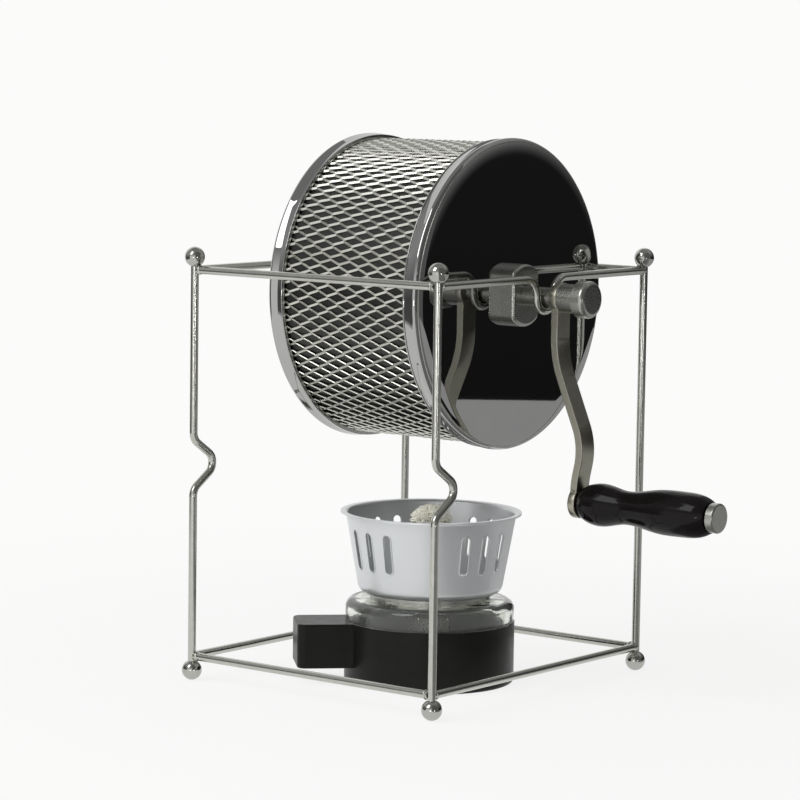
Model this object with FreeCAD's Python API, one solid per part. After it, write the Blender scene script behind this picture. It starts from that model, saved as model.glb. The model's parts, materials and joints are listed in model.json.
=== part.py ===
"""Hand-cranked coffee bean roaster: a wire stand, a mesh drum on an axle and a spirit burner.

Millimetres, +Z up. The axle runs along X with the crank at +X. The origin is on the floor,
midway between the four posts. The front of the stand is its -Y side, with the kinked posts.
"""
import FreeCAD, Part
import math
import os

Vec = FreeCAD.Vector

# Clearances
running_clearance = 0.05  # radial, between a shaft and the hole or notch that it turns in
fixed_fit = 0.02  # radial, between pieces that are pressed or clamped together
loose_gap = 0.3  # between moving pieces that face each other

# Distance within which a place or a radius counts as the one looked for
match_tolerance = 1e-4

# Wire stand
post_span_x = 150.0  # between post centres, along the axle
drum_to_rail = 7.1  # from the caps' rims to the rails that pass them
wire_radius = 2.0
ball_radius = 5.0
ball_socket_depth = 3.0
stand_height = 215.0  # floor to the top of the upper balls
rail_to_ball = 7.0  # from a lower ball's centre up to the bottom rails
top_rail_drop = 6.3  # from an upper ball's centre down to the top rails
notch_shoulder_radius = 9.0  # wire centreline, where the rail turns down into the notch
kink_height = 107.5  # floor to the middle of a kink
kink_reach = 19.0  # how far the kink's sharp corner would stand inwards
kink_half_height = 12.5
kink_bend_radius = 6.0

# Axle and drum
axle_radius = 4.7
axle_far_overhang = 3.0  # past the far rail's wire
axle_end_chamfer = 0.8
hub_to_rail = 8.9  # from the hub collar's end to the crank-side rail
lid_to_rail = 29.7  # from the lid's bush to the far rail, which is the room to pull the lid off
cap_radius = 75.9
cap_sheet = 0.6
cap_edge_rounding = 2.0
cap_rim_width = 2.4
cap_rim_rise = 1.0  # how far the rim stands out from the skirt
cap_skirt_depth = 9.8
cap_hem_width = 1.2
cap_hem_rise = 0.4
hoop_thickness = 0.73
hoop_width = 9.0
mesh_thickness = 1.1
mesh_end_gap = 0.4
mesh_strand = 1.7
mesh_cells_round = 52
mesh_cells_along = 4
liner_thickness = 0.5

# Hub
hub_collar_radius = 15.2
hub_collar_length = 8.0
hub_across_flats = 20.8
hub_corner_rounding = 4.0
hub_front_rounding = 1.6
hub_nut_across_flats = 17.0
hub_nut_thickness = 6.0
set_screw_radius = 2.0
set_screw_length = 5.0
lid_bush_radius = 10.0
lid_bush_length = 6.0
lid_bush_rounding = 1.5

# Crank
arm_thickness = 4.0
arm_to_rail = 5.4  # from the crank-side rail to the arm's inner face at the axle
arm_upper_eye_radius = 7.4
arm_lower_eye_radius = 7.6
arm_waist_width = 10.6
arm_offset = 17.2  # how far the bend stands out from the upper stretch
arm_return = 4.1  # how far the lower stretch comes back in
arm_bend_top = 29.0  # below the axle, where the outward bend starts
arm_bend_bottom = 70.0  # below the axle, where the bend stands out most
arm_return_bottom = 88.5  # below the axle, where the arm is upright again
arm_upper_bend_radius = 50.0
arm_middle_bend_radius = 32.0
arm_lower_bend_radius = 40.0
crank_throw = 97.8  # axle to grip spindle
journal_radius = 4.0  # axle end that carries the arm
spacer_radius = 7.0
spacer_length = 9.6
knob_radius = 9.0
knob_length = 7.0
knob_rounding = 2.4
knob_bore_depth = 4.5

# Grip
spindle_radius = 3.0
grip_length = 72.7
grip_outline = [  # share of the length, radius
    (0.0, 6.6),
    (0.09, 9.8),
    (0.17, 10.3),
    (0.33, 8.2),
    (0.60, 10.4),
    (0.80, 10.8),
    (0.94, 9.7),
    (1.0, 7.6),
]
spindle_head_radius = 7.1
spindle_head_length = 4.6
spindle_head_rounding = 0.8
rivet_radius = 4.0
rivet_height = 0.8

# Spirit burner
burner_x = 11.0
burner_y = -4.0
base_radius = 42.3
base_height = 30.3
base_wall = 2.4
base_floor = 3.0
base_edge_radius = 1.5
handle_direction = -135.0  # degrees from +X
handle_width = 30.0
handle_reach = 24.9  # past the base's wall
handle_height = 22.0
handle_corner_radius = 4.0
handle_edge_radius = 1.0
glass_wall = 2.4
glass_rim_setback = 0.3  # the rim's radius is this much under the base's
glass_rim_height = 10.7
glass_shoulder_radius = 4.2
glass_mouth_radius = 24.0
collar_radius = 30.0
collar_thickness = 3.2
collar_plug_depth = 5.0
collar_boss_radius = 13.7
collar_boss_height = 1.6
wick_tube_radius = 9.6
wick_tube_wall = 0.8
wick_tube_bottom = 20.0
wick_tube_top = 79.0
wick_tuft_radius = 9.4
wick_tuft_height = 8.0
wick_tuft_rounding = 6.0
guard_sheet = 0.8
guard_height = 40.5
guard_bottom_radius = 35.4
guard_corner_radius = 5.0
guard_mouth_radius = 42.4
guard_lip_reach = 2.6
guard_lip_radius = 0.9
slot_width = 4.6
slot_height = 20.0
slot_low_edge = 13.0  # above the guard's underside
slot_pitch = 16.5  # degrees between the slots of one group
slot_group_first = -101.0  # degrees from +X to the middle of the first group
slot_groups = 4
slots_in_group = 3

# Sizes and places worked out from the ones above
post_x = post_span_x / 2
post_y = cap_radius + drum_to_rail + wire_radius
low_ball_z = ball_radius
high_ball_z = stand_height - ball_radius
bottom_rail_z = low_ball_z + rail_to_ball
top_rail_z = high_ball_z - top_rail_drop
axle_z = top_rail_z - notch_shoulder_radius
notch_radius = axle_radius + running_clearance + wire_radius
hub_outer_x = post_x - wire_radius - hub_to_rail
drum_near_x = hub_outer_x - hub_collar_length  # outer face of the crank-side cap
drum_far_x = lid_bush_length + lid_to_rail + wire_radius - post_x  # outer face of the lid
cap_skirt_radius = cap_radius - cap_rim_rise
mesh_radius = cap_skirt_radius - cap_sheet - running_clearance - hoop_thickness - fixed_fit
mesh_far_x = drum_far_x + cap_sheet + mesh_end_gap
mesh_near_x = drum_near_x - cap_sheet - mesh_end_gap
arm_inner_x = post_x + wire_radius + arm_to_rail
arm_middle_x = arm_inner_x + arm_thickness / 2
spindle_z = axle_z - crank_throw
lower_arm_x = arm_middle_x + arm_offset - arm_return
grip_start_x = lower_arm_x + arm_thickness / 2 + loose_gap
grip_end_x = grip_start_x + grip_length
glass_rim_radius = base_radius - glass_rim_setback
glass_top_z = base_height + glass_rim_height
collar_top_z = glass_top_z + collar_thickness
wick_outer_radius = wick_tube_radius - wick_tube_wall - fixed_fit
x_axis = Vec(1, 0, 0)
y_axis = Vec(0, 1, 0)
z_axis = Vec(0, 0, 1)
burner_centre = Vec(burner_x, burner_y, 0)


def line(start, end):
    return Part.LineSegment(start, end).toShape()


def rounded_path(corners, radii):
    """A wire through the corners, with a tangent arc of the given radius at each inner corner."""
    edges = []
    run_start = corners[0]
    for before, corner, after, radius in zip(corners, corners[1:], corners[2:], radii):
        back = (before - corner).normalize()
        ahead = (after - corner).normalize()
        half_angle = back.getAngle(ahead) / 2
        reach = radius / math.tan(half_angle)
        inward = (back + ahead).normalize()
        arc_start = corner + back * reach
        arc_end = corner + ahead * reach
        arc_middle = corner + inward * (radius / math.sin(half_angle) - radius)
        if arc_start.distanceToPoint(run_start) > match_tolerance:
            edges.append(line(run_start, arc_start))
        edges.append(Part.Arc(arc_start, arc_middle, arc_end).toShape())
        run_start = arc_end
    edges.append(line(run_start, corners[-1]))
    return Part.Wire(edges)


def wire_along(path, radius):
    """Round wire that follows a path."""
    first = path.Edges[0]
    start = first.valueAt(first.FirstParameter)
    heading = first.tangentAt(first.FirstParameter)
    section = Part.Wire(Part.makeCircle(radius, start, heading))
    return path.makePipeShell([section], True, False)


def turned_about_z(outline, centre):
    """A turned solid from (radius, height) corners."""
    corners = [centre + Vec(radius, 0, height) for radius, height in outline]
    face = Part.Face(Part.makePolygon(corners + corners[:1]))
    return face.revolve(centre, z_axis, 360)


def turned_about_x(outline, axis_z):
    """A turned solid from (place along X, radius) corners."""
    corners = [Vec(along, 0, axis_z + radius) for along, radius in outline]
    face = Part.Face(Part.makePolygon(corners + corners[:1]))
    return face.revolve(Vec(0, 0, axis_z), x_axis, 360)


def tube_along_x(outer, inner, start_x, end_x):
    """A plain tube round the axle."""
    start = Vec(start_x, 0, axle_z)
    tube = Part.makeCylinder(outer, end_x - start_x, start, x_axis)
    return tube.cut(Part.makeCylinder(inner, end_x - start_x, start, x_axis))


def same(first, second):
    return abs(first - second) < match_tolerance


def rounded_circles(solid, axis, rounding, places):
    """The solid with fillets on the circular edges at the listed (place along the axis, radius)."""
    chosen = []
    for edge in solid.Edges:
        if not isinstance(edge.Curve, Part.Circle):
            continue
        along = edge.Curve.Center.dot(axis)
        for place, radius in places:
            if same(along, place) and same(edge.Curve.Radius, radius):
                chosen.append(edge)
    return solid.makeFillet(rounding, chosen)


# Wire stand
def ball(x, y, low):
    """A drilled ball on the end of a post."""
    centre_z = low_ball_z if low else high_ball_z
    sphere = Part.makeSphere(ball_radius, Vec(x, y, centre_z))
    heading = z_axis if low else -z_axis
    bottom = Vec(x, y, centre_z) + heading * (ball_radius - ball_socket_depth)
    return sphere.cut(Part.makeCylinder(wire_radius, 2 * ball_radius, bottom, heading))


def post_ends():
    low_end = low_ball_z + ball_radius - ball_socket_depth
    high_end = high_ball_z - ball_radius + ball_socket_depth
    return low_end, high_end


def straight_post(x, y):
    low_end, high_end = post_ends()
    return Part.makeCylinder(wire_radius, high_end - low_end, Vec(x, y, low_end))


def kinked_post(x, y):
    """A front post, bent inwards to a blunt point part of the way up."""
    low_end, high_end = post_ends()
    corners = [
        Vec(x, y, low_end),
        Vec(x, y, kink_height - kink_half_height),
        Vec(x, y + kink_reach, kink_height),
        Vec(x, y, kink_height + kink_half_height),
        Vec(x, y, high_end),
    ]
    return wire_along(rounded_path(corners, [kink_bend_radius] * 3), wire_radius)


def coped_to_posts(rail, rail_z):
    """The rail with its ends hollowed to fit the posts."""
    below = 2 * wire_radius
    for x in (-post_x, post_x):
        for y in (-post_y, post_y):
            start = Vec(x, y, rail_z - below)
            rail = rail.cut(Part.makeCylinder(wire_radius, 2 * below, start))
    return rail


def side_rail(x, rail_z):
    """A straight rail along Y, between the posts of one end."""
    rail = Part.makeCylinder(wire_radius, 2 * post_y, Vec(x, -post_y, rail_z), y_axis)
    return coped_to_posts(rail, rail_z)


def notched_rail(x):
    """A top rail along Y that dips into a round notch, in which the axle turns."""
    shoulder = notch_shoulder_radius
    outer = notch_radius + shoulder
    slant = shoulder * math.sqrt(0.5)
    drop = shoulder - slant
    top = top_rail_z
    edges = [
        line(Vec(x, -post_y, top), Vec(x, -outer, top)),
        Part.Arc(
            Vec(x, -outer, top), Vec(x, -outer + slant, top - drop), Vec(x, -notch_radius, axle_z)
        ).toShape(),
        Part.Arc(
            Vec(x, -notch_radius, axle_z),
            Vec(x, 0, axle_z - notch_radius),
            Vec(x, notch_radius, axle_z),
        ).toShape(),
        Part.Arc(
            Vec(x, notch_radius, axle_z), Vec(x, outer - slant, top - drop), Vec(x, outer, top)
        ).toShape(),
        line(Vec(x, outer, top), Vec(x, post_y, top)),
    ]
    return coped_to_posts(wire_along(Part.Wire(edges), wire_radius), top)


def cross_rail(y, rail_z):
    """A straight rail along X, coped to the posts and to the rails along Y."""
    rail = Part.makeCylinder(wire_radius, post_span_x, Vec(-post_x, y, rail_z), x_axis)
    aside = 2 * wire_radius
    for x in (-post_x, post_x):
        start = Vec(x, y - aside, rail_z)
        rail = rail.cut(Part.makeCylinder(wire_radius, 2 * aside, start, y_axis))
    return coped_to_posts(rail, rail_z)


# Drum
def axle():
    far_end = -post_x - wire_radius - axle_far_overhang
    journal_end = arm_inner_x + arm_thickness + spacer_length + knob_bore_depth
    outline = [
        (far_end, 0),
        (far_end, axle_radius - axle_end_chamfer),
        (far_end + axle_end_chamfer, axle_radius),
        (arm_inner_x, axle_radius),
        (arm_inner_x, journal_radius),
        (journal_end, journal_radius),
        (journal_end, 0),
    ]
    return turned_about_x(outline, axle_z)


def pan(face_x, inward, bore):
    """A spun pan: a flat face with a round edge, a skirt and a hemmed lip, open towards inward."""
    hem_x = face_x + inward * cap_skirt_depth
    rim_x = face_x + inward * cap_rim_width
    inner_radius = cap_skirt_radius - cap_sheet
    outline = [
        (face_x, bore),
        (face_x, cap_radius),
        (rim_x, cap_radius),
        (rim_x + inward * cap_rim_rise, cap_skirt_radius),
        (hem_x - inward * cap_hem_width, cap_skirt_radius),
        (hem_x - inward * cap_hem_width, cap_skirt_radius + cap_hem_rise),
        (hem_x, cap_skirt_radius + cap_hem_rise),
        (hem_x, inner_radius),
        (face_x + inward * cap_sheet, inner_radius),
        (face_x + inward * cap_sheet, bore),
    ]
    solid = turned_about_x(outline, axle_z)
    return rounded_circles(solid, x_axis, cap_edge_rounding, [(face_x, cap_radius)])


def near_cap():
    return pan(drum_near_x, -1, axle_radius + fixed_fit)


def bean_lid():
    return pan(drum_far_x, 1, axle_radius + running_clearance)


def drum_mesh():
    """The diamond mesh round the drum: rows between the two skirts, every other row shifted."""
    wall = tube_along_x(mesh_radius, mesh_radius - mesh_thickness, mesh_far_x, mesh_near_x)
    open_from = drum_far_x + cap_skirt_depth
    open_to = drum_near_x - cap_skirt_depth
    pitch_along = (open_to - open_from) / mesh_cells_along
    pitch_round = 2 * math.pi * mesh_radius / mesh_cells_round
    slope = math.hypot(pitch_along, pitch_round)
    shrink = 1 - mesh_strand * slope / (pitch_along * pitch_round)
    half_long = shrink * pitch_along / 2
    half_wide = shrink * pitch_round / 2
    cut_reach = 3 * mesh_thickness
    inside = mesh_radius - cut_reach
    diamond = [
        Vec(-half_long, 0, inside),
        Vec(0, half_wide, inside),
        Vec(half_long, 0, inside),
        Vec(0, -half_wide, inside),
    ]
    cutter = Part.Face(Part.makePolygon(diamond + diamond[:1]))
    cutter = cutter.extrude(Vec(0, 0, 2 * cut_reach))
    step = 360.0 / mesh_cells_round
    holes = []
    for row in range(2 * mesh_cells_along - 1):
        row_x = open_from + (row + 1) * pitch_along / 2
        for column in range(mesh_cells_round):
            hole = cutter.copy()
            hole.rotate(Vec(0, 0, 0), x_axis, (column + (row % 2) / 2) * step)
            hole.translate(Vec(row_x, 0, axle_z))
            holes.append(hole)
    return wall.cut(holes)


def drum_liner():
    """The thin sheet tube that the mesh is wrapped round, which keeps the beans in."""
    outer = mesh_radius - mesh_thickness - fixed_fit
    return tube_along_x(outer, outer - liner_thickness, mesh_far_x, mesh_near_x)


def hoop(start_x, clearance):
    """A plain band round one end of the mesh, inside the skirt of the cap or the lid."""
    outer = cap_skirt_radius - cap_sheet - clearance
    return tube_along_x(outer, mesh_radius + fixed_fit, start_x, start_x + hoop_width)


# Hub
def hub_collar():
    """A round collar with two flats for a spanner, bored for the axle and the set screw."""
    start = Vec(drum_near_x, 0, axle_z)
    half_flats = hub_across_flats / 2
    corner = start - Vec(0, half_flats, hub_collar_radius)
    solid = Part.makeCylinder(hub_collar_radius, hub_collar_length, start, x_axis)
    solid = solid.common(
        Part.makeBox(hub_collar_length, hub_across_flats, 2 * hub_collar_radius, corner)
    )
    long_edges = []
    for edge in solid.Edges:
        box = edge.BoundBox
        if same(box.XLength, hub_collar_length) and same(abs(box.Center.y), half_flats):
            long_edges.append(edge)
    solid = solid.makeFillet(hub_corner_rounding, long_edges)
    front = [edge for edge in solid.Edges if same(edge.BoundBox.XMin, hub_outer_x)]
    solid = solid.makeFillet(hub_front_rounding, front)
    solid = solid.cut(
        Part.makeCylinder(axle_radius + fixed_fit, hub_collar_length, start, x_axis)
    )
    hole_start = Vec(drum_near_x + hub_collar_length / 2, 0, axle_z)
    return solid.cut(
        Part.makeCylinder(set_screw_radius, hub_collar_radius, hole_start, y_axis)
    )


def set_screw():
    """A headless screw in the collar's back, with its point against the axle."""
    start = Vec(drum_near_x + hub_collar_length / 2, axle_radius + fixed_fit, axle_z)
    return Part.makeCylinder(set_screw_radius - fixed_fit, set_screw_length, start, y_axis)


def hub_nut():
    """The hexagon nut inside the drum that clamps the cap against the collar."""
    corner_radius = hub_nut_across_flats / math.sqrt(3)
    start_x = drum_near_x - cap_sheet - hub_nut_thickness
    corners = []
    for side in range(7):
        angle = math.radians(60 * side)
        corners.append(
            Vec(start_x, corner_radius * math.cos(angle), axle_z + corner_radius * math.sin(angle))
        )
    nut = Part.Face(Part.makePolygon(corners)).extrude(Vec(hub_nut_thickness, 0, 0))
    bore_start = Vec(start_x, 0, axle_z)
    return nut.cut(
        Part.makeCylinder(axle_radius + fixed_fit, hub_nut_thickness, bore_start, x_axis)
    )


def lid_bush():
    """The bush on the lid's outside that slides along the axle."""
    outer_x = drum_far_x - lid_bush_length
    outline = [
        (outer_x, axle_radius + running_clearance),
        (outer_x, lid_bush_radius),
        (drum_far_x, lid_bush_radius),
        (drum_far_x, axle_radius + running_clearance),
    ]
    solid = turned_about_x(outline, axle_z)
    return rounded_circles(solid, x_axis, lid_bush_rounding, [(outer_x, lid_bush_radius)])


# Crank
def arm_plan():
    """The arm seen along the axle, as a slab: a round eye at each end and straight sides."""
    start_x = arm_inner_x - arm_thickness
    depth = arm_offset + 3 * arm_thickness
    upper = Part.makeCylinder(arm_upper_eye_radius, depth, Vec(start_x, 0, axle_z), x_axis)
    lower = Part.makeCylinder(arm_lower_eye_radius, depth, Vec(start_x, 0, spindle_z), x_axis)
    shank_start = Vec(start_x, -arm_waist_width / 2, spindle_z)
    shank = Part.makeBox(depth, arm_waist_width, crank_throw, shank_start)
    return upper.fuse([lower, shank])


def bored_arm(arm, middle_x, centre_z, radius):
    """The arm with a hole along X through the upright stretch whose middle is at middle_x."""
    start = Vec(middle_x - arm_thickness, 0, centre_z)
    return arm.cut(Part.makeCylinder(radius + fixed_fit, 2 * arm_thickness, start, x_axis))


def crank_arm():
    """A flat bar that bends outwards, comes back a little and ends upright at the spindle."""
    top = axle_z + arm_upper_eye_radius + arm_thickness
    bottom = spindle_z - arm_lower_eye_radius - arm_thickness
    corners = [
        Vec(arm_middle_x, 0, top),
        Vec(arm_middle_x, 0, axle_z - arm_bend_top),
        Vec(arm_middle_x + arm_offset, 0, axle_z - arm_bend_bottom),
        Vec(lower_arm_x, 0, axle_z - arm_return_bottom),
        Vec(lower_arm_x, 0, bottom),
    ]
    radii = [arm_upper_bend_radius, arm_middle_bend_radius, arm_lower_bend_radius]
    half_width = arm_upper_eye_radius + arm_thickness
    half = arm_thickness / 2
    section = [
        Vec(arm_middle_x - half, -half_width, top),
        Vec(arm_middle_x + half, -half_width, top),
        Vec(arm_middle_x + half, half_width, top),
        Vec(arm_middle_x - half, half_width, top),
    ]
    profile = Part.makePolygon(section + section[:1])
    bar = rounded_path(corners, radii).makePipeShell([profile], True, False)
    arm = bored_arm(bar.common(arm_plan()), arm_middle_x, axle_z, journal_radius)
    return bored_arm(arm, lower_arm_x, spindle_z, spindle_radius)


def arm_spacer():
    """The sleeve between the arm and the knob."""
    start_x = arm_inner_x + arm_thickness
    return tube_along_x(spacer_radius, journal_radius + fixed_fit, start_x, start_x + spacer_length)


def axle_knob():
    """The round cap nut on the end of the axle."""
    start_x = arm_inner_x + arm_thickness + spacer_length
    end_x = start_x + knob_length
    bore = journal_radius + fixed_fit
    bottom_x = start_x + knob_bore_depth + fixed_fit
    outline = [
        (start_x, bore),
        (start_x, knob_radius),
        (end_x, knob_radius),
        (end_x, 0),
        (bottom_x, 0),
        (bottom_x, bore),
    ]
    solid = turned_about_x(outline, axle_z)
    return rounded_circles(solid, x_axis, knob_rounding, [(end_x, knob_radius)])


# Grip
def grip():
    """The turned grip: a bulb by the arm, a waist and a fuller palm, bored for the spindle."""
    bore = spindle_radius + running_clearance
    points = []
    for share, radius in grip_outline:
        points.append(Vec(grip_start_x + share * grip_length, 0, spindle_z + radius))
    curve = Part.BSplineCurve()
    curve.interpolate(points)
    inner_start = Vec(grip_start_x, 0, spindle_z + bore)
    inner_end = Vec(grip_end_x, 0, spindle_z + bore)
    outline = Part.Wire(
        [
            line(inner_start, points[0]),
            curve.toShape(),
            line(points[-1], inner_end),
            line(inner_end, inner_start),
        ]
    )
    return Part.Face(outline).revolve(Vec(0, 0, spindle_z), x_axis, 360)


def grip_spindle():
    """The headed rod that the grip turns on, fixed in the arm's lower eye."""
    inner_x = lower_arm_x - arm_thickness / 2
    head_start = grip_end_x + loose_gap
    head_end = head_start + spindle_head_length
    outline = [
        (inner_x, 0),
        (inner_x, spindle_radius),
        (head_start, spindle_radius),
        (head_start, spindle_head_radius),
        (head_end, spindle_head_radius),
        (head_end, 0),
    ]
    solid = turned_about_x(outline, spindle_z)
    edges = [(head_start, spindle_head_radius), (head_end, spindle_head_radius)]
    return rounded_circles(solid, x_axis, spindle_head_rounding, edges)


def spindle_rivet():
    """The domed rivet head on the arm's inner face that holds the spindle."""
    face_x = lower_arm_x - arm_thickness / 2
    dome_radius = (rivet_radius ** 2 + rivet_height ** 2) / (2 * rivet_height)
    centre = Vec(face_x - rivet_height + dome_radius, 0, spindle_z)
    dome = Part.makeSphere(dome_radius, centre)
    start = Vec(face_x - 2 * dome_radius, 0, spindle_z)
    return dome.common(Part.makeCylinder(dome_radius, 2 * dome_radius, start, x_axis))


# Spirit burner
def burner_base():
    """The black cup that holds the reservoir."""
    inner = base_radius - base_wall
    outline = [
        (0, 0),
        (base_radius, 0),
        (base_radius, base_height),
        (inner, base_height),
        (inner, base_floor),
        (0, base_floor),
    ]
    solid = turned_about_z(outline, burner_centre)
    return rounded_circles(solid, z_axis, base_edge_radius, [(0, base_radius)])


def burner_handle():
    """The moulded lug by which the burner is held, hollowed to fit the base's wall."""
    length = base_radius + handle_reach
    low = base_height - handle_height
    slab = Part.makeBox(length, handle_width, handle_height, Vec(0, -handle_width / 2, low))
    upright = []
    for edge in slab.Edges:
        middle = edge.CenterOfMass
        if same(middle.x, length) and same(middle.z, low + handle_height / 2):
            upright.append(edge)
    slab = slab.makeFillet(handle_corner_radius, upright)
    level = []
    for edge in slab.Edges:
        box = edge.BoundBox
        if same(box.ZMax, box.ZMin) and box.XMax > handle_edge_radius:
            level.append(edge)
    slab = slab.makeFillet(handle_edge_radius, level)
    slab.rotate(Vec(0, 0, 0), z_axis, handle_direction)
    slab.translate(burner_centre)
    return slab.cut(Part.makeCylinder(base_radius, 2 * base_height, burner_centre))


def fuel_reservoir():
    """The squat glass jar: its body stands in the base and its thick rim rests on the base's edge."""
    body = base_radius - base_wall - loose_gap
    inner = body - glass_wall
    floor = base_floor + loose_gap
    under_top = glass_top_z - glass_wall
    outline = [
        (0, floor),
        (body, floor),
        (body, base_height),
        (glass_rim_radius, base_height),
        (glass_rim_radius, glass_top_z),
        (glass_mouth_radius, glass_top_z),
        (glass_mouth_radius, under_top),
        (inner, under_top),
        (inner, floor + glass_wall),
        (0, floor + glass_wall),
    ]
    solid = turned_about_z(outline, burner_centre)
    return rounded_circles(solid, z_axis, glass_shoulder_radius, [(glass_top_z, glass_rim_radius)])


def reservoir_collar():
    """The metal plug that closes the jar's mouth, carries the wick tube and seats the guard."""
    bore = wick_tube_radius + fixed_fit
    outline = [
        (bore, glass_top_z - collar_plug_depth),
        (glass_mouth_radius - fixed_fit, glass_top_z - collar_plug_depth),
        (glass_mouth_radius - fixed_fit, glass_top_z),
        (collar_radius, glass_top_z),
        (collar_radius, collar_top_z),
        (collar_boss_radius, collar_top_z),
        (collar_boss_radius, collar_top_z + collar_boss_height),
        (bore, collar_top_z + collar_boss_height),
    ]
    return turned_about_z(outline, burner_centre)


def wick_tube():
    start = burner_centre + z_axis * wick_tube_bottom
    height = wick_tube_top - wick_tube_bottom
    tube = Part.makeCylinder(wick_tube_radius, height, start)
    return tube.cut(Part.makeCylinder(wick_tube_radius - wick_tube_wall, height, start))


def wick():
    """The fibre wick, from the reservoir's floor to a domed tuft above the tube."""
    foot = base_floor + loose_gap + glass_wall
    start = burner_centre + z_axis * foot
    stem = Part.makeCylinder(wick_outer_radius, wick_tube_top - foot, start)
    tuft_start = burner_centre + z_axis * wick_tube_top
    tuft = Part.makeCylinder(wick_tuft_radius, wick_tuft_height, tuft_start)
    rim = [(wick_tube_top + wick_tuft_height, wick_tuft_radius)]
    return stem.fuse(rounded_circles(tuft, z_axis, wick_tuft_rounding, rim))


def guard_slot_cutters():
    """Upright slots with round ends, in groups of three."""
    low = collar_top_z + slot_low_edge + slot_width / 2
    high = collar_top_z + slot_low_edge + slot_height - slot_width / 2
    reach = guard_mouth_radius + guard_lip_reach
    start_x = guard_bottom_radius / 2
    depth = reach - start_x
    shape = Part.makeBox(depth, slot_width, high - low, Vec(start_x, -slot_width / 2, low))
    for end_z in (low, high):
        end = Part.makeCylinder(slot_width / 2, depth, Vec(start_x, 0, end_z), x_axis)
        shape = shape.fuse(end)
    cutters = []
    for group in range(slot_groups):
        for slot in range(slots_in_group):
            turn = slot_group_first + group * 360.0 / slot_groups
            turn += (slot - (slots_in_group - 1) / 2) * slot_pitch
            cutter = shape.copy()
            cutter.rotate(Vec(0, 0, 0), z_axis, turn)
            cutter.translate(burner_centre)
            cutters.append(cutter)
    return cutters


def wind_guard():
    """The flared metal cup round the flame, with a rolled lip and groups of air slots."""
    bottom = collar_top_z
    top = bottom + guard_height
    hole = collar_boss_radius + fixed_fit
    sheet = guard_sheet
    outer = [
        burner_centre + Vec(hole, 0, bottom),
        burner_centre + Vec(guard_bottom_radius, 0, bottom),
        burner_centre + Vec(guard_mouth_radius, 0, top - guard_lip_radius),
        burner_centre + Vec(guard_mouth_radius + guard_lip_reach, 0, top - guard_lip_radius),
    ]
    path = rounded_path(outer, [guard_corner_radius, guard_lip_radius])
    lift = bottom + sheet
    inner = [
        burner_centre + Vec(hole, 0, lift),
        burner_centre + Vec(guard_bottom_radius - sheet, 0, lift),
        burner_centre + Vec(guard_mouth_radius - sheet, 0, top),
        burner_centre + Vec(guard_mouth_radius + guard_lip_reach, 0, top),
    ]
    inner_corner = guard_corner_radius - sheet
    inner_path = rounded_path(inner, [inner_corner, guard_lip_radius + sheet])
    ends = [line(outer[0], inner[0]), line(outer[-1], inner[-1])]
    outline = Part.Wire(Part.__sortEdges__(path.Edges + inner_path.Edges + ends))
    cup = Part.Face(outline).revolve(burner_centre, z_axis, 360)
    return cup.cut(guard_slot_cutters())


corners = {
    "front_far": (-post_x, -post_y),
    "front_crank": (post_x, -post_y),
    "back_crank": (post_x, post_y),
    "back_far": (-post_x, post_y),
}

parts = {
    "bottom_rail_crank": side_rail(post_x, bottom_rail_z),
    "bottom_rail_far": side_rail(-post_x, bottom_rail_z),
    "bottom_rail_front": cross_rail(-post_y, bottom_rail_z),
    "bottom_rail_back": cross_rail(post_y, bottom_rail_z),
    "top_rail_crank": notched_rail(post_x),
    "top_rail_far": notched_rail(-post_x),
    "top_rail_front": cross_rail(-post_y, top_rail_z),
    "top_rail_back": cross_rail(post_y, top_rail_z),
    "axle": axle(),
    "near_cap": near_cap(),
    "drum_mesh": drum_mesh(),
    "drum_liner": drum_liner(),
    "near_hoop": hoop(mesh_near_x - hoop_width, fixed_fit),
    "far_hoop": hoop(mesh_far_x, running_clearance),
    "hub_collar": hub_collar(),
    "collar_set_screw": set_screw(),
    "hub_nut": hub_nut(),
    "bean_lid": bean_lid(),
    "lid_bush": lid_bush(),
    "crank_arm": crank_arm(),
    "arm_spacer": arm_spacer(),
    "axle_knob": axle_knob(),
    "grip": grip(),
    "grip_spindle": grip_spindle(),
    "spindle_rivet": spindle_rivet(),
    "burner_base": burner_base(),
    "burner_handle": burner_handle(),
    "fuel_reservoir": fuel_reservoir(),
    "reservoir_collar": reservoir_collar(),
    "wick_tube": wick_tube(),
    "wick": wick(),
    "wind_guard": wind_guard(),
}
for corner, (x, y) in corners.items():
    make_post = kinked_post if corner.startswith("front") else straight_post
    parts["post_" + corner] = make_post(x, y)
    parts["top_ball_" + corner] = ball(x, y, False)
    parts["foot_ball_" + corner] = ball(x, y, True)

os.makedirs("parts", exist_ok=True)
for node, shape in parts.items():
    solids = shape.Solids
    if not shape.isValid() or not solids:
        print("not a valid solid:", node, len(solids))
    solid = solids[0] if len(solids) == 1 else Part.makeCompound(solids)
    solid.exportStep(os.path.join("parts", node + ".step"))
print(len(parts), "pieces")
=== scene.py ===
import json
import math
import random

import bpy
from mathutils import Matrix, Vector

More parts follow.
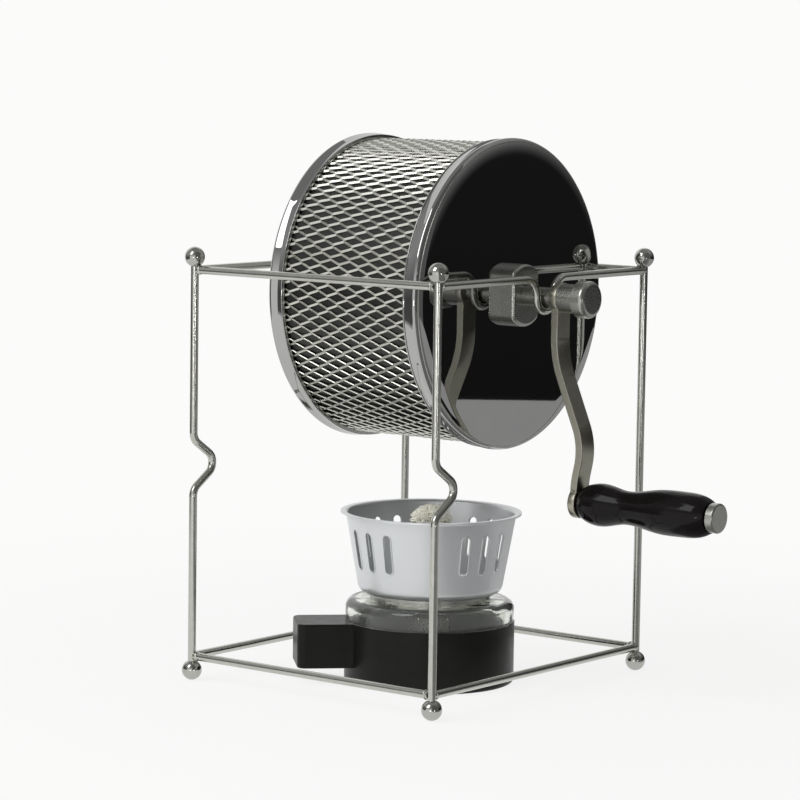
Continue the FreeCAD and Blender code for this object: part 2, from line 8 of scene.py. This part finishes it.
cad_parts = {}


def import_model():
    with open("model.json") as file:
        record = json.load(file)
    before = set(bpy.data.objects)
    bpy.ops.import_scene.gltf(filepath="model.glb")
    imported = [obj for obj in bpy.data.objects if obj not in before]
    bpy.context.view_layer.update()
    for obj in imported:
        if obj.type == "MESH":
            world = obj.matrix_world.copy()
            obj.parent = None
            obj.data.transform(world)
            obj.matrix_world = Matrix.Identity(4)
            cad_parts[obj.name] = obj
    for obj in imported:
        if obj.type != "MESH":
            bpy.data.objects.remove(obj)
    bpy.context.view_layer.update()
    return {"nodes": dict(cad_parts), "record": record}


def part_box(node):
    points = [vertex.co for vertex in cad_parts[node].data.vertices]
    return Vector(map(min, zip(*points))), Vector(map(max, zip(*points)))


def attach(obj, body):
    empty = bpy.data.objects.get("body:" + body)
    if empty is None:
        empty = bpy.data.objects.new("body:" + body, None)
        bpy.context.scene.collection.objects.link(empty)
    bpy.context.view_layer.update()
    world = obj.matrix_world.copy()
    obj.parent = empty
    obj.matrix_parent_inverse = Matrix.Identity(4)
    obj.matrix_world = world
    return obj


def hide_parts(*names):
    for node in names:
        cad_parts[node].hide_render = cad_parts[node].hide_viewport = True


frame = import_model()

nodes = frame["nodes"]

# Camera, worked out from the corners of the stand in the photograph
image_size = 800.0  # the photograph's side, in pixels
focal_pixels = 3304.387
camera_azimuth = math.radians(37.959)
camera_elevation = math.radians(6.145)
camera_roll = math.radians(0.826)
camera_distance = 1.659653
camera_across = -0.008165
camera_above = 0.13307
solve_origin_z = 0.005
sensor_width = 36.0

# Expanded mesh
cells_round = 74
half_cells_along = 12
first_knot_gap = 0.0029  # from the lid's lip to the first knots
strand_width = 0.00112
strand_thickness = 0.0005
strand_overlap = 0.25  # how far a strand runs past its knots, as a share of its width
strand_tilt = math.radians(30)
row_drift = math.radians(-1.8)  # how far the rows wander round the drum from the lid to the cap

# Weld beads on the stand's joints
wire_radius = 0.002
bead_length = 0.0016
bead_rise = 0.0005
bead_profile = ((0.0, 0.0), (0.1, 0.8), (0.4, 1.0), (0.75, 0.5), (1.0, -0.2))  # shares of length and rise
bead_lumps = (0.7, 1.2)  # least and greatest share of the rise
bead_inset = 0.75  # how far in from a rail's end the bead starts, in wire radii
bead_sides = 16

# Spun pans: the crank-side cap and the lid
pan_sheet = 0.0006
pan_flat_margin = 0.002  # a ring this far inside the rolled edge keeps the face flat
pan_roll_across = 0.0078  # the face's rolled edge, measured along the radius
pan_roll_deep = 0.0032
pan_roll_steps = 16
pan_rim_width = 0.0004
pan_rim_rise = 0.001  # how far the rim stands out from the skirt
pan_rim_taper = 1.6  # how far along the skirt the rim fades out, in rim rises
pan_bead_radius = 0.00045
pan_bead_lead = 1.2  # where the skirt ends before the bead, in bead radii
pan_bead_steps = 8
pan_bore = 0.005
pan_sides = 256

# Wick: a dome that carries short loose fibres
tube_wall = 0.001
dome_width = 0.92  # shares of the tuft's radius and height
dome_height = 0.82
dome_ruffle = (0.86, 1.04)
dome_steps = 10
wick_sides = 48
wick_fibres = 2200
fibre_radius = 0.0002
fibre_length = (0.0012, 0.0032)
fibre_root_width = 0.86  # shares of the tuft's radius and height
fibre_root_height = 0.78
fibre_upright = 1.1
fibre_sway = (0.8, 0.8, 0.5)

# Air slots of the guard, and the rims pressed round them
guard_bottom_radius = 0.0354
guard_mouth_radius = 0.0424
slot_width = 0.0046
slot_height = 0.020
slot_low_edge = 0.013
slot_pitch = 16.5  # degrees
slot_group_first = -101.0  # degrees
slot_groups = 4
slots_in_group = 3
slot_end_steps = 10
slot_rim_radius = 0.0004
slot_rim_sides = 6

# Edges
same_point = 0.000001
sharp_angle = math.radians(40)
arm_edge_wear = 0.0005
edge_steps = 3

# Textures: scales of the noise per metre, and depths of relief
steel_mottle = 260.0
gloss_grain = 9  # how much finer a metal's gloss varies than its colour
plastic_patches = 160.0
plastic_pale = 1.6  # the pale patches, as a multiple of the dark ones
plastic_grain = 1800.0
plastic_relief = 0.00005
glass_ripples = 50.0
glass_relief = 0.002
fibre_strands = 900.0

# Light
white = (0.965, 0.965, 0.96)
daylight = 0.55
lamp_target_height = 0.15

# Stage
room_wall = 1.36  # distance of the dark wall and of the wall beside the camera
card_steps = 24
ceiling_height = 2.2
floor_card_height = 0.001
floor_paper = (0.86, 0.86, 0.855)
floor_near = 0.12  # the floor turns from paper into an even glow between these distances
floor_far = 0.6
floor_near_glow = 0.86
floor_half_side = 6.0


def size_of(node):
    """A node's length, width and height."""
    low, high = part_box(node)
    return high - low


cap_low, cap_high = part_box("near_cap")
lid_low, lid_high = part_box("bean_lid")
axle_z = (cap_low.z + cap_high.z) / 2
cap_radius = size_of("near_cap").z / 2
mesh_radius = size_of("drum_mesh").z / 2
base_low, base_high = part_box("burner_base")
burner_centre = (base_low + base_high) / 2


# Materials
def empty_material(name):
    """A new material with nothing in its tree but the output."""
    material = bpy.data.materials.new(name)
    material.use_nodes = True
    tree = material.node_tree
    tree.nodes.clear()
    return material, tree, tree.nodes.new("ShaderNodeOutputMaterial")


def surface(name):
    """A new material with its Principled shader."""
    material, tree, output = empty_material(name)
    shader = tree.nodes.new("ShaderNodeBsdfPrincipled")
    tree.links.new(shader.outputs["BSDF"], output.inputs["Surface"])
    return material, tree, shader


def noise(tree, scale, detail=3.0, stretch=None):
    """A noise texture in the object's own metres, optionally stretched along an axis."""
    coordinates = tree.nodes.new("ShaderNodeTexCoord")
    texture = tree.nodes.new("ShaderNodeTexNoise")
    texture.inputs["Scale"].default_value = scale
    texture.inputs["Detail"].default_value = detail
    source = coordinates.outputs["Object"]
    if stretch:
        mapping = tree.nodes.new("ShaderNodeMapping")
        mapping.inputs["Scale"].default_value = stretch
        tree.links.new(source, mapping.inputs["Vector"])
        source = mapping.outputs["Vector"]
    tree.links.new(source, texture.inputs["Vector"])
    return texture.outputs["Fac"]


def spread(tree, value, low, high):
    """A 0 to 1 value spread between two levels."""
    remap = tree.nodes.new("ShaderNodeMapRange")
    remap.inputs["To Min"].default_value = low
    remap.inputs["To Max"].default_value = high
    tree.links.new(value, remap.inputs["Value"])
    return remap.outputs["Result"]


def tint(tree, value, low, high):
    """A 0 to 1 value turned into a colour between two colours."""
    mix = tree.nodes.new("ShaderNodeMix")
    mix.data_type = "RGBA"
    # The node has several sockets of each name, so they go by number
    first_colour, second_colour, mixed_colour = 6, 7, 2
    mix.inputs[first_colour].default_value = (*low, 1)
    mix.inputs[second_colour].default_value = (*high, 1)
    tree.links.new(value, mix.inputs["Factor"])
    return mix.outputs[mixed_colour]


def bump(tree, shader, height, strength, distance):
    """A relief in the surface's shading."""
    node = tree.nodes.new("ShaderNodeBump")
    node.inputs["Strength"].default_value = strength
    node.inputs["Distance"].default_value = distance
    tree.links.new(height, node.inputs["Height"])
    tree.links.new(node.outputs["Normal"], shader.inputs["Normal"])


def metal(name, low, high, gloss, mottle=steel_mottle, stretch=None, satin=0.0):
    """Steel or aluminium whose colour and roughness vary a little over the surface."""
    material, tree, shader = surface(name)
    shader.inputs["Metallic"].default_value = 1.0 - satin
    patches = noise(tree, mottle, stretch=stretch)
    fine = noise(tree, mottle * gloss_grain, stretch=stretch)
    tree.links.new(tint(tree, patches, low, high), shader.inputs["Base Color"])
    tree.links.new(spread(tree, fine, *gloss), shader.inputs["Roughness"])
    return material


def black_plastic(name, colour, gloss, relief, shine):
    """Black plastic or lacquer with paler patches and a fine grain."""
    material, tree, shader = surface(name)
    shader.inputs["Specular IOR Level"].default_value = shine
    patches = noise(tree, plastic_patches)
    grain = noise(tree, plastic_grain)
    pale = [level * plastic_pale for level in colour]
    tree.links.new(tint(tree, patches, colour, pale), shader.inputs["Base Color"])
    tree.links.new(spread(tree, patches, *gloss), shader.inputs["Roughness"])
    bump(tree, shader, grain, relief, plastic_relief)
    return material


def glass():
    """Pressed glass with an uneven surface."""
    material, tree, shader = surface("jar_glass")
    shader.inputs["Transmission Weight"].default_value = 0.97
    shader.inputs["IOR"].default_value = 1.45
    ripple = noise(tree, glass_ripples, 1.0)
    colour = tint(tree, ripple, (0.86, 0.89, 0.83), (0.94, 0.96, 0.91))
    tree.links.new(colour, shader.inputs["Base Color"])
    tree.links.new(spread(tree, ripple, 0.0, 0.02), shader.inputs["Roughness"])
    bump(tree, shader, ripple, 0.6, glass_relief)
    return material


def fibre():
    """Undyed cotton or glass fibre."""
    material, tree, shader = surface("wick_fibre")
    strands = noise(tree, fibre_strands)
    colour = tint(tree, strands, (0.94, 0.925, 0.80), (0.98, 0.97, 0.88))
    tree.links.new(colour, shader.inputs["Base Color"])
    shader.inputs["Sheen Weight"].default_value = 0.3
    tree.links.new(spread(tree, strands, 0.75, 0.95), shader.inputs["Roughness"])
    return material


# For a metal: its two colours, its least and greatest roughness, and the scale of its mottling
materials = {
    "stand_wire": metal("stand_wire", (0.46, 0.46, 0.425), (0.56, 0.56, 0.52), (0.17, 0.21)),
    "stand_ball": metal("stand_ball", (0.40, 0.40, 0.375), (0.50, 0.50, 0.47), (0.06, 0.12)),
    "turned_steel": metal("turned_steel", (0.34, 0.34, 0.315), (0.46, 0.46, 0.43), (0.22, 0.32)),
    "crank_steel": metal("crank_steel", (0.34, 0.33, 0.27), (0.44, 0.43, 0.36), (0.28, 0.38)),
    "mirror_steel": metal("mirror_steel", (0.40, 0.40, 0.395), (0.44, 0.44, 0.435), (0.01, 0.02), 60.0),
    "mesh_steel": metal("mesh_steel", (0.58, 0.58, 0.535), (0.72, 0.72, 0.665), (0.32, 0.42), 500.0),
    # liner_sheet is painted shade: a near-black sheet inside the mesh that stands in for the shade inside
    # the drum
    "liner_sheet": metal("liner_sheet", (0.045, 0.045, 0.042), (0.075, 0.075, 0.07), (0.35, 0.5), 300.0),
    "grip_black": black_plastic("grip_black", (0.005, 0.004, 0.004), (0.10, 0.14), 0.05, 0.15),
    "base_black": black_plastic("base_black", (0.006, 0.006, 0.005), (0.28, 0.42), 0.2, 0.16),
    "jar_glass": glass(),
    "guard_aluminium": metal(
        "guard_aluminium", (0.62, 0.635, 0.645), (0.72, 0.735, 0.745), (0.30, 0.38), 40.0,
        stretch=(1, 1, 0.2), satin=0.3,
    ),
    "wick_fibre": fibre(),
}


def dress(obj, slot):
    """A slot's material on a piece, and no other."""
    obj.data.materials.clear()
    obj.data.materials.append(materials[slot])


for entry in frame["record"]["subparts"]:
    dress(nodes[entry["node"]], entry["material_slot"])
# Painted shade: the burner's collar wears the darker turned steel instead of its own aluminium, for the
# shadow it sits in under the guard
dress(nodes["reservoir_collar"], "turned_steel")


def soften(node, width):
    """A small worn rounding on the sharp edges of a carried-over piece."""
    weld = nodes[node].modifiers.new("weld", "WELD")
    weld.merge_threshold = same_point
    bevel = nodes[node].modifiers.new("bevel", "BEVEL")
    bevel.width = width
    bevel.segments = edge_steps
    bevel.limit_method = "ANGLE"
    bevel.angle_limit = sharp_angle
    bevel.harden_normals = True


soften("crank_arm", arm_edge_wear)


# Pieces
def new_piece(name, points, faces, slot, body, smooth=False):
    """A mesh object from points and faces, dressed and riding on a body."""
    mesh = bpy.data.meshes.new(name)
    mesh.from_pydata(points, [], faces)
    mesh.update()
    for polygon in mesh.polygons:
        polygon.use_smooth = smooth
    obj = bpy.data.objects.new(name, mesh)
    bpy.context.scene.collection.objects.link(obj)
    dress(obj, slot)
    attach(obj, body)
    return obj


def on_drum(along, angle, radius):
    """A point on the drum: place along the axle, angle up from the front, radius."""
    return Vector((along, -radius * math.cos(angle), axle_z + radius * math.sin(angle)))


def add_bar(points, faces, start, end, across, deep):
    """A four-sided bar between two points, with half its width and half its depth as vectors."""
    first = len(points)
    for place in (start, end):
        for side, level in ((-1, -1), (1, -1), (1, 1), (-1, 1)):
            points.append(place + side * across + level * deep)
    for corner in range(4):
        following = (corner + 1) % 4
        faces.append((first + corner, first + following, first + 4 + following, first + 4 + corner))
    faces.append((first + 3, first + 2, first + 1, first))
    faces.append((first + 4, first + 5, first + 6, first + 7))


def add_tube(points, faces, rings, closed):
    """A skin over rings of equal length, optionally joined end to end."""
    first = len(points)
    sides = len(rings[0])
    for ring in rings:
        points.extend(ring)
    joints = len(rings) if closed else len(rings) - 1
    for index in range(joints):
        here = first + index * sides
        there = first + (index + 1) % len(rings) * sides
        for side in range(sides):
            following = (side + 1) % sides
            faces.append((here + side, here + following, there + following, there + side))


def strand(points, faces, start_x, pitch, angle, angle_end, turn):
    """One tilted strand, from a knot's upper or lower side to the next knot's other side."""
    middle_radius = mesh_radius - strand_thickness
    lift = strand_width / 2
    ends = []
    for place, around, side in ((start_x, angle, turn), (start_x + pitch, angle_end, -turn)):
        rise = side * lift * math.cos(strand_tilt) / middle_radius
        radius = middle_radius + side * lift * math.sin(strand_tilt)
        ends.append(on_drum(place, around + rise, radius))
    middle = (angle + angle_end) / 2
    outward = on_drum(0, middle, 1) - on_drum(0, middle, 0)
    upward = Vector((0, math.sin(middle), math.cos(middle)))
    heading = (ends[1] - ends[0]).normalized()
    wide = upward * math.cos(strand_tilt) + outward * math.sin(strand_tilt)
    wide = (wide - heading * wide.dot(heading)).normalized()
    thick = heading.cross(wide)
    overlap = heading * strand_width * strand_overlap
    across = wide * strand_width / 2
    deep = thick * strand_thickness / 2
    add_bar(points, faces, ends[0] - overlap, ends[1] + overlap, across, deep)


def expanded_mesh():
    """The drum's expanded sheet: rows of strands tilted like louvres."""
    step = math.tau / cells_round
    first_x = lid_high.x + first_knot_gap
    pitch = (cap_low.x - first_x) / half_cells_along
    drift = row_drift / half_cells_along
    points = []
    faces = []
    for row in range(-1, half_cells_along + 1):
        for column in range(cells_round):
            angle = (column + (row % 2) / 2) * step + row * drift
            for turn in (1, -1):
                angle_end = angle + turn * step / 2 + drift
                strand(points, faces, first_x + row * pitch, pitch, angle, angle_end, turn)
    obj = new_piece("expanded_mesh", points, faces, "mesh_steel", "drum")
    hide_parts("drum_mesh")


expanded_mesh()


def pan_outline(radius, depth):
    """A spun pan's outline, as depth behind its face and radius."""
    skirt = radius - pan_rim_rise
    outline = [(0, pan_bore), (0, radius / 2), (0, radius - pan_roll_across - pan_flat_margin)]
    for step in range(pan_roll_steps + 1):
        turn = math.pi / 2 * step / pan_roll_steps
        inset = pan_roll_across * (1 - math.sin(turn))
        outline.append((pan_roll_deep * (1 - math.cos(turn)), radius - inset))
    foot = pan_roll_deep + pan_rim_width
    outline += [(foot, radius), (foot + pan_rim_taper * pan_rim_rise, skirt)]
    bead_depth = depth - pan_bead_radius
    outline.append((bead_depth - pan_bead_radius * pan_bead_lead, skirt))
    for step in range(pan_bead_steps + 1):
        turn = math.pi * step / pan_bead_steps
        rise = pan_bead_radius * math.sin(turn)
        outline.append((bead_depth - pan_bead_radius * math.cos(turn), skirt + rise))
    inner = skirt - pan_sheet
    back = pan_roll_deep + pan_sheet
    outline += [(depth, inner), (back, inner), (pan_sheet, radius - pan_roll_across - pan_sheet)]
    outline += [(pan_sheet, pan_bore), (0, pan_bore)]
    return outline


def spun_pan(name, node, face_x, inward, body):
    """A mirror-bright spun pan with a rolled edge and a beaded lip."""
    rings = []
    for behind, radius in pan_outline(cap_radius, size_of(node).x):
        place = face_x + inward * behind
        turns = [inward * math.tau * side / pan_sides for side in range(pan_sides)]
        rings.append([on_drum(place, turn, radius) for turn in turns])
    points = []
    faces = []
    add_tube(points, faces, rings, False)
    obj = new_piece(name, points, faces, "mirror_steel", body, True)
    obj.data.set_sharp_from_angle(angle=sharp_angle)
    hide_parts(node)


spun_pan("spun_cap", "near_cap", cap_high.x, -1, "drum")
spun_pan("spun_lid", "bean_lid", lid_low.x, 1, "lid")


wick_low, wick_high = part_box("wick")
wick_centre = (wick_low + wick_high) / 2
tube_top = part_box("wick_tube")[1].z
tuft_radius = (wick_high.x - wick_low.x) / 2
tuft_height = wick_high.z - tube_top


def round_wick(angle, reach, height):
    """A point round the wick's axis."""
    return Vector((wick_centre.x + reach * math.cos(angle), wick_centre.y + reach * math.sin(angle), height))


def wick_body(rng, points, faces):
    """The wick's stem and its ruffled dome."""
    stem_radius = size_of("wick_tube").x / 2 - tube_wall
    outline = [(0, wick_low.z), (stem_radius, wick_low.z), (stem_radius, tube_top)]
    for step in range(dome_steps + 1):
        turn = math.pi / 2 * step / dome_steps
        height = tube_top + tuft_height * dome_height * math.sin(turn)
        outline.append((tuft_radius * dome_width * math.cos(turn), height))
    rings = []
    for radius, height in outline:
        ring = []
        for side in range(wick_sides):
            ruffle = rng.uniform(*dome_ruffle) if height > tube_top else 1.0
            ring.append(round_wick(math.tau * side / wick_sides, radius * ruffle, height))
        rings.append(ring)
    add_tube(points, faces, rings, False)


def loose_fibre(rng, points, faces):
    """One short fibre that stands out from the dome."""
    angle = rng.uniform(0, math.tau)
    share = math.sqrt(rng.uniform(0, 1))
    height = tube_top + tuft_height * fibre_root_height * math.sqrt(1 - share * share)
    root = round_wick(angle, tuft_radius * share * fibre_root_width, height)
    lean = Vector((math.cos(angle) * share, math.sin(angle) * share, fibre_upright - share))
    lean += Vector([rng.uniform(-sway, sway) for sway in fibre_sway])
    tip = root + lean.normalized() * rng.uniform(*fibre_length)
    across = lean.orthogonal().normalized() * fibre_radius
    deep = lean.cross(across).normalized() * fibre_radius
    add_bar(points, faces, root, tip, across, deep)


def wick_tuft():
    """The wick: its stem and a fluffy tuft of short fibres."""
    rng = random.Random(7)
    points = []
    faces = []
    wick_body(rng, points, faces)
    for _ in range(wick_fibres):
        loose_fibre(rng, points, faces)
    obj = new_piece("wick_tuft", points, faces, "wick_fibre", "burner_head", True)
    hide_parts("wick")


wick_tuft()


def on_guard(angle, height):
    """A point on the guard's outer face, and the face's outward direction there."""
    low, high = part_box("wind_guard")
    slope = (guard_mouth_radius - guard_bottom_radius) / (high.z - low.z)
    radius = guard_bottom_radius + slope * height
    way = Vector((math.cos(angle), math.sin(angle), 0))
    place = Vector((burner_centre.x, burner_centre.y, low.z + height)) + way * radius
    return place, (way - Vector((0, 0, slope))).normalized()


def slot_rim(middle):
    """The rings of one slot's rim, over its round top and then under its round foot."""
    half_width = slot_width / 2
    sideways = Vector((-math.sin(middle), math.cos(middle), 0))
    rings = []
    for end, straight in ((0, slot_height - slot_width), (1, 0)):
        for step in range(slot_end_steps + 1):
            sweep = math.pi * (step / slot_end_steps + end)
            level = slot_low_edge + half_width + half_width * math.sin(sweep) + straight
            base, outward = on_guard(middle, level)
            upward = outward.cross(sideways)
            centre = base + sideways * (half_width * math.cos(sweep))
            away = sideways * math.cos(sweep) + upward * math.sin(sweep)
            turns = [math.tau * side / slot_rim_sides for side in range(slot_rim_sides)]
            ways = [away * math.cos(turn) + outward * math.sin(turn) for turn in turns]
            rings.append([centre + way * slot_rim_radius for way in ways])
    return rings


def slot_rims():
    """The small raised rims round the guard's air slots."""
    points = []
    faces = []
    for slot in range(slot_groups * slots_in_group):
        group, place = divmod(slot, slots_in_group)
        in_group = (place - (slots_in_group - 1) / 2) * slot_pitch
        turn = slot_group_first + group * 360.0 / slot_groups + in_group
        add_tube(points, faces, slot_rim(math.radians(turn)), True)
    new_piece("guard_slot_rims", points, faces, "guard_aluminium", "burner_head", True)


slot_rims()


def bead(rng, points, faces, start, heading):
    """A lumpy ring of weld round a rail where it meets a post."""
    across = heading.orthogonal().normalized()
    deep = heading.cross(across)
    rings = []
    for share, rise in bead_profile:
        centre = start + heading * bead_length * share
        ring = []
        for side in range(bead_sides):
            angle = math.tau * side / bead_sides
            reach = wire_radius + bead_rise * rise * rng.uniform(*bead_lumps)
            ring.append(centre + (across * math.cos(angle) + deep * math.sin(angle)) * reach)
        rings.append(ring)
    add_tube(points, faces, rings, False)


def weld_beads():
    """The weld at each end of the eight rails."""
    rng = random.Random(3)
    points = []
    faces = []
    for rail in ("front", "back", "crank", "far"):
        for level in ("top", "bottom"):
            low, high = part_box(level + "_rail_" + rail)
            along = Vector((1, 0, 0)) if rail in ("front", "back") else Vector((0, 1, 0))
            middle = (low + high) / 2
            middle.z = high.z - wire_radius
            half = (high - low).dot(along) / 2 - wire_radius * bead_inset
            for side in (-1, 1):
                bead(rng, points, faces, middle + along * side * half, -side * along)
    new_piece("weld_beads", points, faces, "stand_wire", "stand", True)


weld_beads()


# Stage
def glow_material(name, levels):
    """An even glow whose grey changes smoothly with the height above the floor."""
    material, tree, output = empty_material(name)
    glow = tree.nodes.new("ShaderNodeEmission")
    coordinates = tree.nodes.new("ShaderNodeTexCoord")
    split = tree.nodes.new("ShaderNodeSeparateXYZ")
    ramp = tree.nodes.new("ShaderNodeValToRGB")
    share = tree.nodes.new("ShaderNodeMapRange")
    low = levels[0][0]
    high = levels[-1][0]
    share.inputs["From Min"].default_value = low
    share.inputs["From Max"].default_value = high
    elements = ramp.color_ramp.elements
    while len(elements) < len(levels):
        elements.new(1.0)
    for element, (height, grey) in zip(elements, levels):
        element.position = (height - low) / (high - low)
        element.color = (grey, grey, grey, 1)
    tree.links.new(coordinates.outputs["Object"], split.inputs["Vector"])
    tree.links.new(split.outputs["Z"], share.inputs["Value"])
    tree.links.new(share.outputs["Result"], ramp.inputs["Fac"])
    tree.links.new(ramp.outputs["Color"], glow.inputs["Color"])
    tree.links.new(glow.outputs["Emission"], output.inputs["Surface"])
    return material


def stage_piece(name, points, faces, material, only_in_metal):
    """A piece of the studio, which isn't part of the object."""
    mesh = bpy.data.meshes.new(name)
    mesh.from_pydata(points, [], faces)
    mesh.materials.append(material)
    obj = bpy.data.objects.new(name, mesh)
    bpy.context.scene.collection.objects.link(obj)
    if only_in_metal:
        obj.visible_camera = False
        obj.visible_diffuse = False
        obj.visible_shadow = False
        obj.visible_transmission = False


def card(name, azimuth_from, azimuth_to, distance, levels):
    """A standing curved card round the object, seen only in the metal's reflections."""
    points = []
    faces = []
    for index in range(card_steps + 1):
        azimuth = math.radians(azimuth_from + (azimuth_to - azimuth_from) * index / card_steps)
        for height in (levels[0][0], levels[-1][0]):
            points.append((distance * math.cos(azimuth), distance * math.sin(azimuth), height))
    for index in range(card_steps):
        first = 2 * index
        faces.append((first, first + 2, first + 3, first + 1))
    stage_piece(name, points, faces, glow_material(name, levels), True)


def level_card(name, height, corners, grey):
    """A level card, seen only in the metal's reflections."""
    points = [(x, y, height) for x, y in corners]
    levels = [(height - 1, grey), (height + 1, grey)]
    stage_piece(name, points, [tuple(range(len(points)))], glow_material(name, levels), True)


# Each standing card: its azimuths in degrees, its distance, and its grey at some heights
card(
    "card_dark_wall", 25, 108, room_wall,
    [(0.0, 0.012), (0.22, 0.016), (0.38, 0.06), (0.7, 0.18), (1.1, 0.34), (3.0, 0.6)],
)
card("card_camera_side", -50, 25, room_wall, [(0.0, 0.16), (3.0, 0.16)])
card(
    "card_near_left", -168, -112, 0.62,
    [(0.0, 0.75), (0.03, 0.12), (0.16, 0.10), (0.32, 0.30), (0.45, 0.45), (1.0, 0.33)],
)
card("card_canopy", -170, -50, 2.3, [(0.55, 0.9), (1.2, 0.36), (2.2, 0.30)])

# Each level card: its height, its corners and its grey
level_card("card_ceiling", ceiling_height, [(-2.6, -2.6), (2.6, -2.6), (2.6, 1.4), (-1.2, 1.4)], 0.30)
level_card(
    "card_floor_behind", floor_card_height,
    [(0.1, 0.12), (1.5, 0.12), (1.5, 1.5), (-0.6, 1.5), (-0.06, 0.2)], 0.48,
)
level_card(
    "card_floor_crank", floor_card_height,
    [(0.1, -0.1), (1.3, -1.5), (1.5, -1.5), (1.5, 0.12), (0.1, 0.12)], 0.24,
)


def light_rays(tree):
    """A value that is 1 where the camera, metal or glass sees the surface."""
    rays = tree.nodes.new("ShaderNodeLightPath")
    seen = rays.outputs["Is Camera Ray"]
    for kind in ("Is Glossy Ray", "Is Transmission Ray"):
        either = tree.nodes.new("ShaderNodeMath")
        either.operation = "MAXIMUM"
        tree.links.new(seen, either.inputs[0])
        tree.links.new(rays.outputs[kind], either.inputs[1])
        seen = either.outputs[0]
    return seen


def floor():
    """White paper that keeps a faint shadow near the object and glows evenly further out."""
    material, tree, output = empty_material("floor_white")
    paper = tree.nodes.new("ShaderNodeBsdfDiffuse")
    paper.inputs["Color"].default_value = (*floor_paper, 1)
    glow = tree.nodes.new("ShaderNodeEmission")
    glow.inputs["Color"].default_value = (*white, 1)
    coordinates = tree.nodes.new("ShaderNodeTexCoord")
    reach = tree.nodes.new("ShaderNodeVectorMath")
    reach.operation = "LENGTH"
    evenness = tree.nodes.new("ShaderNodeMapRange")
    evenness.interpolation_type = "SMOOTHSTEP"
    evenness.inputs["From Min"].default_value = floor_near
    evenness.inputs["From Max"].default_value = floor_far
    evenness.inputs["To Min"].default_value = floor_near_glow
    evenness.inputs["To Max"].default_value = 1.0
    share = tree.nodes.new("ShaderNodeMath")
    share.operation = "MULTIPLY"
    mix = tree.nodes.new("ShaderNodeMixShader")
    tree.links.new(coordinates.outputs["Object"], reach.inputs[0])
    tree.links.new(reach.outputs["Value"], evenness.inputs["Value"])
    tree.links.new(evenness.outputs["Result"], share.inputs[0])
    tree.links.new(light_rays(tree), share.inputs[1])
    tree.links.new(share.outputs[0], mix.inputs["Fac"])
    tree.links.new(paper.outputs["BSDF"], mix.inputs[1])
    tree.links.new(glow.outputs["Emission"], mix.inputs[2])
    tree.links.new(mix.outputs["Shader"], output.inputs["Surface"])
    edge = floor_half_side
    corners = [(-edge, -edge, 0), (edge, -edge, 0), (edge, edge, 0), (-edge, edge, 0)]
    stage_piece("floor", corners, [(0, 1, 2, 3)], material, False)


floor()


def world():
    """White to the camera, in metal and through glass, and softer as light on the object."""
    sky = bpy.data.worlds.new("studio")
    bpy.context.scene.world = sky
    sky.use_nodes = True
    tree = sky.node_tree
    tree.nodes.clear()
    output = tree.nodes.new("ShaderNodeOutputWorld")
    seen = tree.nodes.new("ShaderNodeBackground")
    seen.inputs["Color"].default_value = (*white, 1)
    light = tree.nodes.new("ShaderNodeBackground")
    light.inputs["Color"].default_value = (daylight, daylight, daylight, 1)
    mix = tree.nodes.new("ShaderNodeMixShader")
    tree.links.new(light_rays(tree), mix.inputs["Fac"])
    tree.links.new(light.outputs["Background"], mix.inputs[1])
    tree.links.new(seen.outputs["Background"], mix.inputs[2])
    tree.links.new(mix.outputs["Shader"], output.inputs["Surface"])


world()


def lamp(name, azimuth, elevation, distance, width, height, power):
    """A soft lamp that faces the drum."""
    data = bpy.data.lights.new(name, "AREA")
    data.shape = "RECTANGLE"
    data.size = width
    data.size_y = height
    data.energy = power
    turn = math.radians(azimuth)
    lift = math.radians(elevation)
    target = Vector((0, 0, lamp_target_height))
    way = Vector((math.cos(turn) * math.cos(lift), math.sin(turn) * math.cos(lift), math.sin(lift)))
    obj = bpy.data.objects.new(name, data)
    obj.location = target + way * distance
    obj.rotation_euler = way.to_track_quat("Z", "Y").to_euler()
    bpy.context.scene.collection.objects.link(obj)


# Each lamp: its azimuth and elevation in degrees, its distance, width and height, and its power in watts
lamp("key", -105, 42, 1.6, 0.9, 0.9, 10)
lamp("left_fill", -136, 22, 1.3, 0.5, 0.5, 4)
lamp("side_left", -69, -3, 1.5, 0.08, 0.08, 0.5)
lamp("side_right", -26, -3, 1.3, 0.08, 0.08, 0.5)


# Camera
def place_camera():
    """The camera as it stood for the photograph."""
    turn = camera_azimuth
    lift = camera_elevation
    right = Vector((math.cos(turn), math.sin(turn), 0))
    back = Vector((math.sin(turn) * math.cos(lift), -math.cos(turn) * math.cos(lift), math.sin(lift)))
    up = back.cross(right)
    rolled_right = right * math.cos(camera_roll) + up * math.sin(camera_roll)
    rolled_up = up * math.cos(camera_roll) - right * math.sin(camera_roll)
    place = rolled_right * camera_across + rolled_up * camera_above + back * camera_distance
    place.z += solve_origin_z
    facing = Matrix((rolled_right, rolled_up, back)).transposed()
    data = bpy.data.cameras.new("camera")
    data.sensor_width = sensor_width
    data.lens = focal_pixels * sensor_width / image_size
    obj = bpy.data.objects.new("camera", data)
    obj.matrix_world = Matrix.Translation(place) @ facing.to_4x4()
    bpy.context.scene.collection.objects.link(obj)
    bpy.context.scene.camera = obj


place_camera()
bpy.context.scene.view_settings.view_transform = "Standard"
